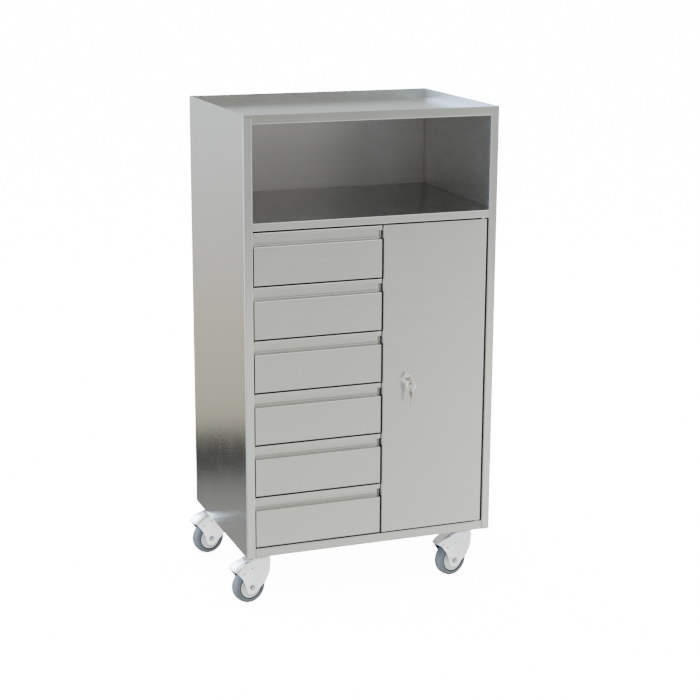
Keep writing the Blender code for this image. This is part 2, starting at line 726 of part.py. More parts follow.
def add_lock(hinge, finish):
    lock = add_frame("lock_turn", (LOCK_X - HINGE_X, -HINGE_Y, LOCK_Z), hinge)
    key_mesh = mesh_of("key", key(), finish["nickel"])
    add_part("lock_plug", mesh_of("lock_plug", lock_plug(), finish["chrome"]), lock)
    add_part("lock_cam", mesh_of("lock_cam", lock_cam(), finish["zinc"]), lock)
    add_part("cam_screw", mesh_of("cam_screw", cam_screw(), finish["zinc"]), lock)
    add_part("key", key_mesh, lock)
    ring = add_frame("ring_swing", (0, KEY_HOLE_Y, 0), lock)
    add_part("key_ring", mesh_of("key_ring", key_ring(), finish["chrome"]), ring)
    spare = add_frame("spare_key_swing", (0, 0, -2 * RING_RADIUS), ring)
    hung = add_part("spare_key", key_mesh, spare)
    hung.rotation_euler.x = -math.pi / 2
    hung.location.z = KEY_HOLE_Y


def add_casters(cabinet, finish):
    meshes = {
        "caster_plate": mesh_of("caster_plate", caster_plate(), finish["zinc"]),
        "caster_fork": mesh_of("caster_fork", fork(), finish["zinc"]),
        "wheel_axle": mesh_of("wheel_axle", axle(), finish["zinc"]),
        "wheel_hub": mesh_of("wheel_hub", hub(), finish["plastic"]),
        "wheel_tyre": mesh_of("wheel_tyre", tyre(), finish["rubber"]),
    }
    for corner, (side, rear) in CORNERS.items():
        x = side * (HALF_WIDTH - CASTER_INSET_X)
        y = CABINET_DEPTH - CASTER_INSET_Y if rear else CASTER_INSET_Y
        plate = add_part(f"caster_plate_{corner}", meshes["caster_plate"], cabinet)
        plate.location = (x, y, 0)
        swivel = add_frame(f"swivel_{corner}", (x, y, 0), cabinet, CASTER_ANGLE)
        add_part(f"caster_fork_{corner}", meshes["caster_fork"], swivel)
        add_part(f"wheel_axle_{corner}", meshes["wheel_axle"], swivel).location = WHEEL_CENTRE
        wheel = add_frame(f"wheel_{corner}", WHEEL_CENTRE, swivel)
        add_part(f"wheel_hub_{corner}", meshes["wheel_hub"], wheel)
        add_part(f"wheel_tyre_{corner}", meshes["wheel_tyre"], wheel)


def main():
    clear_scene()
    finish = finishes()
    cabinet = add_frame("cabinet", (CABINET_X, CABINET_Y, CASTER_HEIGHT))
    add_cabinet(cabinet, finish)
    add_drawers(cabinet, finish)
    add_door(cabinet, finish)
    add_casters(cabinet, finish)


main()
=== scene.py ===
"""The finished look of a stainless steel medication cart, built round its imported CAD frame.

The sheet metal keeps its CAD solids, with rounded edges and brushed steel. The casters, the lock and the
keys are modelled again here, finer than their CAD solids. Everything is in metres, in the frame of the part:
+Z up, the front faces -Y.
"""

import math

import bmesh
import bpy
from mathutils import Matrix, Vector


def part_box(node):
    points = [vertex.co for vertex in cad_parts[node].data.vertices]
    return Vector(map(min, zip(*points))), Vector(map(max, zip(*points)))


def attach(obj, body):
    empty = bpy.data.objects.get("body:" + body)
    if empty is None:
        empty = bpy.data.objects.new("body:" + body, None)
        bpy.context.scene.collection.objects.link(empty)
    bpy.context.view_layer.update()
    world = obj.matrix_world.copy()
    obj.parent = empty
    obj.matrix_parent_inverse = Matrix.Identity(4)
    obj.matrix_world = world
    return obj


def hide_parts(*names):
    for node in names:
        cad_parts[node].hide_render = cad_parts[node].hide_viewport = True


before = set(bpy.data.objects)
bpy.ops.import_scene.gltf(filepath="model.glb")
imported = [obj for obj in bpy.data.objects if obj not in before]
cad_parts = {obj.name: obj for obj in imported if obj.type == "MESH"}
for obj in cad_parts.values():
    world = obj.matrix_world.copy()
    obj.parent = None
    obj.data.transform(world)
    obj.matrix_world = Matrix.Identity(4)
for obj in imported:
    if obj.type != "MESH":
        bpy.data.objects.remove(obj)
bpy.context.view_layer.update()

# The camera: where the picture was taken from, and which way it looks
CAMERA_PLACE = Vector((-1.3460, -3.6822, 1.5348))
CAMERA_TILT = math.radians(90 - 14.31)
CAMERA_TURN = math.radians(-20.57)
CAMERA_ROLL = math.radians(0.28)
CAMERA_LENS = 88.14
SENSOR_WIDTH = 36

# The floor, which lies a hair below the wheels, and the lamps, which all point at one spot
FLOOR_REACH = 60
FLOOR_HEIGHT = -0.0002
FLOOR_GLOW = 13.0
LAMP_TARGET = Vector((0, 0, 0.6))
LAMPS = (
    # name, place, side of the square lamp, power, colour
    ("ceiling_softbox", (0.2, -0.6, 4.2), 3.2, 260, (1, 1, 1)),
    ("front_softbox", (-2.4, -3.4, 2.6), 1.8, 90, (0.97, 0.98, 1.0)),
    ("back_softbox", (2.2, 3.0, 2.8), 1.8, 60, (1, 1, 1)),
)

# The CAD nodes that are shown, by finish, and the faces of some of them that have a finish of their own
DRAWERS = range(1, 7)
CAD_FINISHES = {
    "upright": ["left_side_panel", "right_side_panel", "centre_partition"],
    "level": [
        "compartment_floor", "bottom_panel", "front_cross_member", "rear_cross_member",
        "lower_shelf", "upper_shelf", "back_panel", "door_panel", "door_liner",
        *[f"drawer_front_{number}" for number in DRAWERS],
    ],
    "tray": ["top_tray"],
    "deep": [f"drawer_box_{number}" for number in DRAWERS],
    "runner": ["left_runner_frame", "right_runner_frame"],
    "nylon": ["upper_hinge_bush", "lower_hinge_bush"],
    "zinc": ["upper_hinge_pin", "lower_hinge_pin", "lock_nut", "lock_cam", "cam_screw"],
}
# The compartment's inner back wall and floor take tints darker than the outer steel: painted shade
INNER_FACES = (
    # node, the way the faces look, finish
    ("back_panel", (0, -1, 0), "inside"),
    ("compartment_floor", (0, 0, 1), "inner_floor"),
    ("left_side_panel", (1, 0, 0), "inner_side"),
    ("right_side_panel", (-1, 0, 0), "inner_side"),
    ("top_tray", (-1, 0, 0), "inner_side"),
)
SHEET_EDGE = 0.00047
WELD_DISTANCE = 0.000002
FLAT_ANGLE = math.radians(1)

# What the outer sheet metal is tinted, the darker tints of the compartment's inner back wall and floor, which
# are painted shade, and the rougher inner sides
STEEL = (0.555, 0.562, 0.53)
INNER_WALL_PAINTED_SHADE = (0.36, 0.358, 0.35)
INNER_FLOOR_PAINTED_SHADE = (0.34, 0.337, 0.33)
INNER_SIDE = (0.55, 0.55, 0.545)

# The weld bead between the back panel and the tray
BEAD_SIZE = 0.0022
BEAD_ROOT = 0.0003

# The casters. Each is modelled round its swivel axis, with heights from the cabinet's underside down, and
# trails to -X before it is turned by CASTER_ANGLE. Their wheels are modelled round their own middles.
CORNERS = ("front_left", "front_right", "back_left", "back_right")
UNDERSIDE = 0.118
CASTER_ANGLE = math.radians(15)
TRAIL = 0.0365
WHEEL_RADIUS = 0.040
AXLE_DROP = UNDERSIDE - WHEEL_RADIUS
FORK_TOP = -0.0095
FORK_HALF_WIDTH = 0.0195
FORK_SHEET = 0.0025
THROUGH_FORK = 0.03
FOOT_RADIUS = 0.016
SHOULDER_RADIUS = 0.009
SHOULDER_STEPS = 8
KING_PIN_HOLE_RADIUS = 0.0062
AXLE_HOLE_RADIUS = 0.0043
CHEEK_HOLE_RADIUS = 0.0022
CHEEK_HOLES = ((-0.0367, -0.0318), (-0.0583, -0.0408))
PLATE_HALF_SIZE = (0.040, 0.033)
PLATE_CORNER_RADIUS = 0.006
PLATE_BOTTOM = -0.0033
PLATE_TOP = -0.0003
PLATE_BOLTS = [(x, y) for x in (-0.031, 0.031) for y in (-0.0245, 0.0245)]
HEXAGON_RADIUS = 0.0058

# The dark ring on each side of the wheels, as its least and greatest distance from the axle
DARK_RINGS = {"hub": (0.0265, 0.0300), "tyre": (0.0280, 0.0296)}

# The lock, modelled round the plug's axis with the door's front at 0, and the keys
LOCK = Vector((0.1016, -0.1978, 0.506))
LOCK_EDGE = 0.0001
KEY_THICKNESS = 0.002
KEY_EDGE = 0.00018
KEY_HOLE_Y = -0.024
KEY_HOLE_RADIUS = 0.00225
BOW_Y = -0.018
BOW_RADIUS = 0.0105
RING_RADIUS = 0.0103
RING_TURNS = 1.92
RING_PITCH = 0.0011
RING_STEPS = 150
WIRE_RADIUS = 0.00036
WIRE_FLATNESS = 1.6
WIRE_SIDES = 8


# ---------------------------------------------------------------- mesh helpers

def link(thing):
    bpy.context.scene.collection.objects.link(thing)
    return thing


def object_of(name, shape, finish, sharp=35):
    """A new object from a bmesh, smooth except at edges sharper than an angle in degrees."""
    bmesh.ops.recalc_face_normals(shape, faces=shape.faces)
    mesh = bpy.data.meshes.new(name)
    shape.to_mesh(mesh)
    shape.free()
    mesh.materials.append(finish)
    mesh.shade_smooth()
    mesh.set_sharp_from_angle(angle=math.radians(sharp))
    return link(bpy.data.objects.new(name, mesh))


def prism(outline, axis, start, end):
    """An outline extruded along an axis: its points are (y, z) for X, (x, z) for Y and (x, y) for Z."""
    slot = "XYZ".index(axis)
    shape = bmesh.new()
    corners = []
    for point in outline:
        place = list(point)
        place.insert(slot, start)
        corners.append(shape.verts.new(place))
    extruded = bmesh.ops.extrude_face_region(shape, geom=[shape.faces.new(corners)])
    pushed = [item for item in extruded["geom"] if isinstance(item, bmesh.types.BMVert)]
    bmesh.ops.translate(shape, verts=pushed, vec=Vector([(end - start) * (i == slot) for i in range(3)]))
    bmesh.ops.recalc_face_normals(shape, faces=shape.faces)
    return shape


def turned(profile, sides):
    """A closed profile of (radius, height) points turned about Z. A point of radius 0 lies on the axis."""
    shape = bmesh.new()
    rings = []
    for radius, height in profile:
        count = sides if radius > 0 else 1
        angles = [math.tau * i / sides for i in range(count)]
        rings.append([shape.verts.new((radius * math.cos(a), radius * math.sin(a), height)) for a in angles])
    for ring, following in zip(rings, rings[1:] + rings[:1]):
        for i in range(sides):
            j = (i + 1) % sides
            if len(ring) == 1 and len(following) == 1:
                continue
            if len(ring) == 1:
                shape.faces.new((ring[0], following[i], following[j]))
            elif len(following) == 1:
                shape.faces.new((ring[i], following[0], ring[j]))
            else:
                shape.faces.new((ring[i], following[i], following[j], ring[j]))
    bmesh.ops.recalc_face_normals(shape, faces=shape.faces)
    return shape


def skinned(rings):
    """A solid over rings of equally many points, each joined to the next, and closed at both ends."""
    shape = bmesh.new()
    loops = [[shape.verts.new(point) for point in ring] for ring in rings]
    for loop, following in zip(loops, loops[1:]):
        for i in range(len(loop)):
            j = (i + 1) % len(loop)
            shape.faces.new((loop[i], loop[j], following[j], following[i]))
    shape.faces.new(loops[0])
    shape.faces.new(loops[-1])
    bmesh.ops.recalc_face_normals(shape, faces=shape.faces)
    return shape


def rod(radius, bottom, top, sides=48):
    return turned([(0, bottom), (radius, bottom), (radius, top), (0, top)], sides)


def moved(shape, matrix):
    bmesh.ops.transform(shape, matrix=matrix, verts=shape.verts)
    return shape


def shifted(shape, x=0, y=0, z=0):
    return moved(shape, Matrix.Translation((x, y, z)))


def along_y(shape):
    return moved(shape, Matrix.Rotation(-math.pi / 2, 4, "X"))


def across_x(shape):
    return moved(shape, Matrix.Rotation(math.pi / 2, 4, "Y"))


def combined(operation, shapes):
    """The exact union or intersection of the shapes, or the first one with the others cut out of it."""
    solids = []
    for shape in shapes:
        mesh = bpy.data.meshes.new("piece")
        shape.to_mesh(mesh)
        shape.free()
        solids.append(link(bpy.data.objects.new("piece", mesh)))
    for other in solids[1:]:
        boolean = solids[0].modifiers.new("boolean", "BOOLEAN")
        boolean.operation = operation
        boolean.object = other
    result = bmesh.new()
    result.from_object(solids[0], bpy.context.evaluated_depsgraph_get())
    for solid in solids:
        bpy.data.meshes.remove(solid.data)
    return result


def joined(*shapes):
    return combined("UNION", shapes)


def cut(*shapes):
    return combined("DIFFERENCE", shapes)


def vectors(*points):
    return [Vector(point) for point in points]


def curve_through(points, steps):
    """Points on a smooth curve that passes through the given 2-D points."""
    ends = [points[0] * 2 - points[1], *points, points[-1] * 2 - points[-2]]
    made = []
    for a, b, c, d in zip(ends, ends[1:], ends[2:], ends[3:]):
        for step in range(steps):
            t = step / steps
            made.append(0.5 * (2 * b + (c - a) * t + (2 * a - 5 * b + 4 * c - d) * t ** 2
                               + (3 * b - a - 3 * c + d) * t ** 3))
    return made + [points[-1]]


def arc(centre, radius, start, end, steps):
    """Points on a circle between two angles in degrees."""
    made = []
    for step in range(steps + 1):
        angle = math.radians(start + (end - start) * step / steps)
        made.append(Vector(centre) + radius * Vector((math.cos(angle), math.sin(angle))))
    return made


def rounded_rectangle(half_x, half_y, radius):
    made = []
    for x, y, start in ((1, 1, 0), (-1, 1, 90), (-1, -1, 180), (1, -1, 270)):
        made += arc((x * (half_x - radius), y * (half_y - radius)), radius, start, start + 90, 5)
    return made


def mirrored(side):
    """The whole profile of a wheel's piece, from the (radius, height) points of its upper side."""
    return side + [(radius, -height) for radius, height in reversed(side)]


def soften(piece, width, segments=2, angle=35):
    """Rounds the piece's edges that are sharper than an angle in degrees."""
    bevel = piece.modifiers.new("edges", "BEVEL")
    bevel.width = width
    bevel.segments = segments
    bevel.limit_method = "ANGLE"
    bevel.angle_limit = math.radians(angle)
    bevel.harden_normals = True


# ---------------------------------------------------------------- materials

class Graph:
    """The node tree of a material or of the world, with short calls for adding nodes to it."""

    def __init__(self, owner):
        owner.use_nodes = True
        self.nodes = owner.node_tree.nodes
        self.links = owner.node_tree.links

    def set(self, node, values):
        """Links or sets the node's inputs, given by name or number."""
        for socket, value in values.items():
            if isinstance(value, bpy.types.NodeSocket):
                self.links.new(value, node.inputs[socket])
            else:
                node.inputs[socket].default_value = value

    def node(self, kind, values=None, output=0, **settings):
        made = self.nodes.new(kind)
        for setting, value in settings.items():
            setattr(made, setting, value)
        self.set(made, values or {})
        return made.outputs[output]

    def math(self, operation, first, second):
        return self.node("ShaderNodeMath", {0: first, 1: second}, operation=operation)

    def ranged(self, source, low, high, to_low, to_high, blend="LINEAR"):
        """The source with low to high mapped onto to_low to to_high, and held beyond them."""
        values = {"Value": source, "From Min": low, "From Max": high, "To Min": to_low, "To Max": to_high}
        return self.node("ShaderNodeMapRange", values, interpolation_type=blend)

    def mixed(self, factor, first, second, mode="MIX"):
        values = {0: factor, 6: first, 7: second}
        return self.node("ShaderNodeMix", values, output=2, data_type="RGBA", blend_type=mode)


class Look(Graph):
    """A Principled material under construction."""

    def __init__(self, name, colour, metallic, roughness, **fixed):
        self.material = bpy.data.materials.new(name)
        super().__init__(self.material)
        self.shader = self.nodes["Principled BSDF"]
        basic = {"Base Color": (*colour, 1), "Metallic": metallic, "Roughness": roughness}
        self.set(self.shader, {**basic, **fixed})
        self.coordinates = self.node("ShaderNodeTexCoord", output="Object")

    def noise(self, scale, stretch=(1, 1, 1), detail=2.0, roughness=0.5):
        stretched = self.node("ShaderNodeMapping", {"Vector": self.coordinates, "Scale": stretch})
        values = {"Vector": stretched, "Scale": scale, "Detail": detail, "Roughness": roughness}
        return self.node("ShaderNodeTexNoise", values)

    def grained(self, grain, lengthwise, across, detail, roughness=0.5):
        """Noise that is drawn out along the grain, with its scale along it and across it."""
        return self.noise(1.0, [lengthwise if axis == grain else across for axis in "XYZ"], detail, roughness)

    def shaded(self, tint, shade):
        """The tint made lighter or darker by a grey value round 1."""
        grey = self.node("ShaderNodeCombineColor", {0: shade, 1: shade, 2: shade})
        return self.mixed(1.0, (*tint, 1), grey, "MULTIPLY")

    def bumped(self, height, distance, strength):
        return self.node("ShaderNodeBump", {"Height": height, "Distance": distance, "Strength": strength})

    def finish(self, colour, rough, normal, **more):
        self.set(self.shader, {"Base Color": colour, "Roughness": rough, "Normal": normal, **more})
        return self.material


def brushed_steel(name, grain, tint=STEEL, roughness=0.23, anisotropy=0.6):
    """Stainless sheet with its grain along one axis: streaks, faint clouds, smudges and small scratches.
    The two scales of each streak are per metre, along the grain and across it."""
    look = Look(name, tint, 1.0, roughness, **{"Anisotropic": anisotropy, "Anisotropic Rotation": 0.25})
    fine = look.grained(grain, 2.5, 1300.0, 2.0, 0.6)
    coarse = look.grained(grain, 0.5, 160.0, 2.0)
    clouds = look.noise(2.6)
    smudges = look.noise(9.0, detail=4.0, roughness=0.65)
    scratches = look.grained(grain, 9.0, 700.0, 1.0)

    fine_streaks = look.ranged(fine, 0.3, 0.7, -0.022, 0.022)
    coarse_streaks = look.ranged(coarse, 0.3, 0.7, -0.012, 0.012)
    shade = look.math("ADD", fine_streaks, coarse_streaks)
    shade = look.math("ADD", shade, look.ranged(clouds, 0.3, 0.7, 0.985, 1.015))
    shade = look.math("ADD", shade, look.ranged(scratches, 0.73, 0.78, 0.0, 0.06))

    rough_streaks = look.ranged(fine, 0.25, 0.75, roughness - 0.02, roughness + 0.02)
    rough = look.math("ADD", rough_streaks, look.ranged(smudges, 0.45, 0.75, 0.0, 0.03))

    direction = {"X": (1, 0, 0), "Y": (0, 1, 0), "Z": (0, 0, 1)}[grain]
    tangent = look.node("ShaderNodeVectorTransform", {"Vector": direction},
                        vector_type="VECTOR", convert_from="OBJECT", convert_to="WORLD")
    return look.finish(look.shaded(tint, shade), rough, look.bumped(fine, 0.00002, 0.25), Tangent=tangent)


def galvanised(name):
    """Zinc coated runner steel, with faint spangle and rubbed channels."""
    tint = (0.50, 0.515, 0.53)
    look = Look(name, tint, 1.0, 0.42)
    cells = look.node("ShaderNodeTexVoronoi", {"Vector": look.coordinates, "Scale": 140.0}, output="Color")
    spangle = look.node("ShaderNodeSeparateColor", {"Color": cells})
    dull = look.noise(30.0, detail=4.0, roughness=0.6)
    shade = look.math("ADD", look.ranged(spangle, 0, 1, -0.06, 0.06), look.ranged(dull, 0.3, 0.7, 0.92, 1.04))
    rough = look.ranged(dull, 0.3, 0.7, 0.34, 0.52)
    return look.finish(look.shaded(tint, shade), rough, look.bumped(dull, 0.0002, 0.25))


def plated(name, tint, warm, roughness, wear):
    """A bright plated metal: slight colour play, rubbed patches, fine pits and hairline scratches."""
    look = Look(name, tint, 1.0, roughness)
    play = look.noise(45.0)
    rubbed = look.noise(120.0, detail=5.0, roughness=0.7)
    hair = look.ranged(look.noise(1.0, (60.0, 1600.0, 900.0), 1.0), 0.68, 0.74, 0.0, 1.0)
    pits = look.noise(1400.0)
    colour = look.mixed(look.ranged(play, 0.35, 0.65, 0.0, 1.0), (*tint, 1), (*warm, 1))
    colour = look.mixed(look.ranged(rubbed, 0.52, 0.72, 0.0, wear), colour, (0.30, 0.30, 0.29, 1))
    rubbing = look.ranged(rubbed, 0.3, 0.7, roughness - 0.05, roughness + 0.10)
    rough = look.math("ADD", rubbing, look.math("MULTIPLY", hair, 0.12))
    return look.finish(colour, rough, look.bumped(pits, 0.00003, 0.30))


def moulded(name, tint, dark, roughness, grain, dirt):
    """A moulded plastic or rubber: fine moulding texture, handling marks and dust that lies in patches."""
    look = Look(name, tint, 0.0, roughness)
    texture = look.noise(grain, detail=3.0, roughness=0.6)
    marks = look.noise(38.0, detail=5.0, roughness=0.7)
    specks = look.ranged(look.noise(900.0, detail=1.0), 0.66, 0.72, 0.0, 1.0)
    colour = look.mixed(look.ranged(marks, 0.42, 0.72, 0.0, dirt), (*tint, 1), (*dark, 1))
    colour = look.mixed(look.math("MULTIPLY", specks, 0.5 * dirt), colour, (*dark, 1))
    rough = look.ranged(marks, 0.3, 0.7, roughness - 0.07, roughness + 0.12)
    return look.finish(colour, rough, look.bumped(texture, 0.00012, 0.35))


def finishes():
    """Every finish on the cart, by the short name that the rest of the script uses."""
    return {
        "upright": brushed_steel("steel_grain_upright", "Z", roughness=0.17, anisotropy=0.88),
        "level": brushed_steel("steel_grain_level", "X"),
        "tray": brushed_steel("steel_tray", "X", roughness=0.17, anisotropy=0.5),
        # The compartment's inner back wall and floor are tinted darker than the outer steel, as painted shade
        "inside": brushed_steel("steel_inner_wall_painted_shade", "X", INNER_WALL_PAINTED_SHADE, roughness=0.36, anisotropy=0.4),
        "inner_floor": brushed_steel("steel_inner_floor_painted_shade", "X", INNER_FLOOR_PAINTED_SHADE),
        "inner_side": brushed_steel("steel_inner_side", "Z", INNER_SIDE, roughness=0.40, anisotropy=0.3),
        "deep": brushed_steel("steel_grain_deep", "Y", roughness=0.30),
        "runner": galvanised("zinc_runner_steel"),
        # name, tint, the tint that plays in it, roughness, wear
        "zinc": plated("bright_zinc_plate", (0.85, 0.87, 0.89), (0.86, 0.86, 0.84), 0.20, 0.16),
        "bolt": plated("blued_bolt_steel", (0.36, 0.41, 0.48), (0.42, 0.43, 0.44), 0.26, 0.3),
        "chrome": plated("polished_chrome", (0.82, 0.82, 0.83), (0.80, 0.80, 0.79), 0.09, 0.10),
        "nickel": plated("worn_nickel", (0.62, 0.60, 0.55), (0.56, 0.50, 0.40), 0.24, 0.45),
        # name, tint, dirt's tint, roughness, scale of the moulding texture, amount of dirt
        "rubber": moulded("grey_tyre_rubber", (0.078, 0.092, 0.100), (0.05, 0.053, 0.056), 0.56, 700.0, 0.45),
        "groove": moulded("dark_tyre_edge", (0.03, 0.034, 0.04), (0.02, 0.02, 0.02), 0.60, 700.0, 0.4),
        "plastic": moulded("grey_hub_plastic", (0.66, 0.70, 0.70), (0.42, 0.43, 0.42), 0.40, 1200.0, 0.25),
        "nylon": moulded("white_bush_nylon", (0.74, 0.74, 0.71), (0.55, 0.54, 0.50), 0.48, 1200.0, 0.3),
    }


# ---------------------------------------------------------------- the sheet metal and small fittings from CAD

def dress_cad(finish):
    """Gives each CAD node that is shown its finish, and rounds its folded and cut edges."""
    for look, names in CAD_FINISHES.items():
        for name in names:
            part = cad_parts[name]
            part.data.materials.clear()
            part.data.materials.append(finish[look])
            weld = part.modifiers.new("weld", "WELD")
            weld.merge_threshold = WELD_DISTANCE
            flat = part.modifiers.new("flat", "DECIMATE")
            flat.decimate_type = "DISSOLVE"
            flat.angle_limit = FLAT_ANGLE
            soften(part, SHEET_EDGE, 3, 20)
    # Inner faces get their own finish. The back wall's and the floor's are darker, which is painted shade
    for name, direction, look in INNER_FACES:
        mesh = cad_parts[name].data
        mesh.materials.append(finish[look])
        for face in mesh.polygons:
            if face.normal.dot(Vector(direction)) > 0.5:
                face.material_index = 1


def show(name, shape, finish, body, node, place):
    """A new piece that stands for a CAD node and moves with its body."""
    piece = object_of(name, moved(shape, place), finish)
    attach(piece, body)
    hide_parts(node)
    return piece


def add_tray_seam(finish):
    """The weld bead in the compartment's upper back corner. It closes the joint of back panel and tray."""
    low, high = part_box("back_panel")
    root = (low.y + BEAD_ROOT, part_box("top_tray")[0].z + BEAD_ROOT)
    outline = vectors(root) + arc(root, BEAD_SIZE, 180, 270, 8)
    bead = prism(outline, "X", low.x + BEAD_ROOT, high.x - BEAD_ROOT)
    # The bead takes the inner wall's darker tint, which is painted shade of the corner
    seam = object_of("look_tray_seam", bead, finish["inside"], 50)
    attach(seam, "cabinet")


# ---------------------------------------------------------------- casters

def fork_outline():
    """The fork seen from the side, as (low edges, crown). The low edges run from the lead round the foot to
    the heel, and the crown from its tail to the top of the lead."""
    lead = vectors((0.0115, FORK_TOP), (0.0125, -0.022), (0.0115, -0.036), (0.0085, -0.052), (-0.001, -0.069))
    lead = [point for point in curve_through(lead, 4) if point.y < FORK_TOP - SHOULDER_RADIUS - 0.001]
    foot = arc((-TRAIL, -AXLE_DROP), FOOT_RADIUS, -38, -158, 16)
    heel = vectors((-0.0555, -0.069), (-0.0615, -0.055))
    tail = vectors((-0.0806, -0.032), (-0.0762, -0.0255), (-0.067, -0.0195), (-0.0545, -0.0150),
                   (-0.040, -0.0112), (-0.027, FORK_TOP))
    return lead + foot + heel, curve_through(tail, 5) + vectors((-0.012, FORK_TOP), (0.0115, FORK_TOP))


def fork_room():
    """The room for the wheel under the crown, as (outside, crown)."""
    inner_top = FORK_TOP - FORK_SHEET
    outside = vectors((0.030, -0.120), (-0.120, -0.120), (-0.120, -0.050))
    tail = vectors((-0.079, -0.0345), (-0.0744, -0.0274), (-0.0656, -0.0219), (-0.0535, -0.0175),
                   (-0.0395, -0.0138), (-0.027, inner_top))
    return outside, curve_through(tail, 5) + vectors((-0.012, inner_top), (0.030, inner_top))


def sunk(crown, depth):
    """The crown's points moved inwards, square to its curve."""
    made = []
    for before, point, after in zip(crown[:1] + crown[:-1], crown, crown[1:] + crown[-1:]):
        along = (after - before).normalized()
        made.append(point + depth * Vector((along.y, -along.x)))
    return made


def crowned(low, crown, half_width, radius):
    """A solid as wide as the fork with its edges along the crown rounded over."""
    stations = []
    for step in range(-SHOULDER_STEPS, SHOULDER_STEPS + 1):
        turn = math.radians(90) * abs(step) / SHOULDER_STEPS
        side = half_width - radius + radius * math.sin(turn)
        stations.append((math.copysign(side, step), radius * (1 - math.cos(turn))))
    stations.insert(SHOULDER_STEPS, (radius - half_width, 0))
    return skinned([[(point.x, y, point.y) for point in low + sunk(crown, depth)] for y, depth in stations])


def fork():
    """The pressed fork, with holes for the king pin, the axle and two more in each cheek."""
    body = crowned(*fork_outline(), FORK_HALF_WIDTH, SHOULDER_RADIUS)
    room = crowned(*fork_room(), FORK_HALF_WIDTH - FORK_SHEET, SHOULDER_RADIUS - FORK_SHEET)
    head = rod(0.024, FORK_TOP - FORK_SHEET, FORK_TOP)
    holes = [
        rod(KING_PIN_HOLE_RADIUS, -THROUGH_FORK, 0),
        shifted(along_y(rod(AXLE_HOLE_RADIUS, -THROUGH_FORK, THROUGH_FORK)), -TRAIL, 0, -AXLE_DROP),
    ]
    for x, z in CHEEK_HOLES:
        holes.append(shifted(along_y(rod(CHEEK_HOLE_RADIUS, -THROUGH_FORK, THROUGH_FORK, 20)), x, 0, z))
    return cut(joined(cut(body, room), head), *holes)


def hexagon(bottom, top):
    """A hexagonal head with its corners turned off, as a cone cut leaves them."""
    blank = rod(HEXAGON_RADIUS, bottom, top, 6)
    cone = [
        (0, bottom - 0.001),
        (HEXAGON_RADIUS * 1.2, bottom - 0.001),
        (HEXAGON_RADIUS * 1.2, top - 0.0008),
        (HEXAGON_RADIUS * 0.90, top + 0.00002),
        (0, top + 0.00002),
    ]
    return combined("INTERSECT", [blank, turned(cone, 48)])


def axle():
    """The wheel's bolt: washer and hexagonal head on one side, washer, nut and thread end on the other."""
    face = FORK_HALF_WIDTH + 0.0003
    washer = [(0, face), (0.0066, face), (0.0068, face + 0.0002), (0.0068, face + 0.0007), (0, face + 0.0007)]
    end = [(0, face), (0.0030, face), (0.0030, face + 0.0035), (0.0026, face + 0.0039), (0, face + 0.0039)]
    bolt = rod(0.0040, -face - 0.0006, face + 0.0006)
    head = [turned(washer, 40), hexagon(face + 0.0005, face + 0.0039)]
    nut = [turned(washer, 40), hexagon(face + 0.0005, face + 0.0034), turned(end, 32)]
    flip = Matrix.Rotation(math.pi, 4, "X")
    return along_y(joined(bolt, *head, *[moved(shape, flip) for shape in nut]))


def hub():
    """The moulded hub: boss, dished web with a raised ring, and a rim that holds the tyre."""
    boss = [(0.0041, 0.0152), (0.0092, 0.0152), (0.0099, 0.0147), (0.0104, 0.0118), (0.0118, 0.0094)]
    web = [(0.0140, 0.0084), (0.0172, 0.0080), (0.0180, 0.0088), (0.0192, 0.0090), (0.0200, 0.0082)]
    rim = [(0.0222, 0.0088), (0.0238, 0.0108), (0.0246, 0.0122), (0.0256, 0.0125), (0.0264, 0.0119)]
    seat = [(0.0270, 0.0106), (0.0282, 0.0104)]
    return along_y(turned(mirrored(boss + web + rim + seat), 72))


def tyre():
    """The solid tyre: a step at the rim, soft shoulders, a crowned tread and a fine seam round its middle."""
    step = [(0.0285, 0.0108), (0.0292, 0.0124), (0.0304, 0.0134), (0.0322, 0.0140), (0.0342, 0.0139)]
    tread = [(0.0362, 0.0130), (0.0379, 0.0112), (0.0391, 0.0085), (0.0397, 0.0055), (0.03995, 0.0025)]
    seam = [(0.0399, 0.0005), (WHEEL_RADIUS, 0.0002)]
    return along_y(turned(mirrored(step + tread + seam), 96))


def caster_top():
    """The plate with rounded corners and its four bolts, the two rings of the ball race, and the king pin."""
    plate = prism(rounded_rectangle(*PLATE_HALF_SIZE, PLATE_CORNER_RADIUS), "Z", PLATE_BOTTOM, PLATE_TOP)
    upper_ring = [(0, -0.002), (0.0215, -0.002), (0.0220, -0.0045), (0.0220, -0.0056), (0.0205, -0.0062)]
    lower_ring = [(0.0205, -0.0068), (0.0220, -0.0073), (0.0220, -0.0086), (0.0210, -0.0088)]
    pin = [(0.0060, -0.0088), (0.0060, -0.0148), (0.0100, -0.0148), (0.0100, -0.0174), (0.0092, -0.0178)]
    pin.append((0, -0.0178))
    bolts = []
    for x, y in PLATE_BOLTS:
        head = moved(hexagon(0.0031, 0.0066), Matrix.Rotation(math.pi, 4, "X"))
        bolts.append(shifted(head, x, y))
    return joined(plate, turned(upper_ring + lower_ring + pin, 64), *bolts)


def darken_ring(shape, least, most):
    """Sets aside, for a second finish, the shape's faces that lie between two distances from its Y axis."""
    for face in shape.faces:
        middle = face.calc_center_median()
        if least < math.hypot(middle.x, middle.z) < most:
            face.material_index = 1


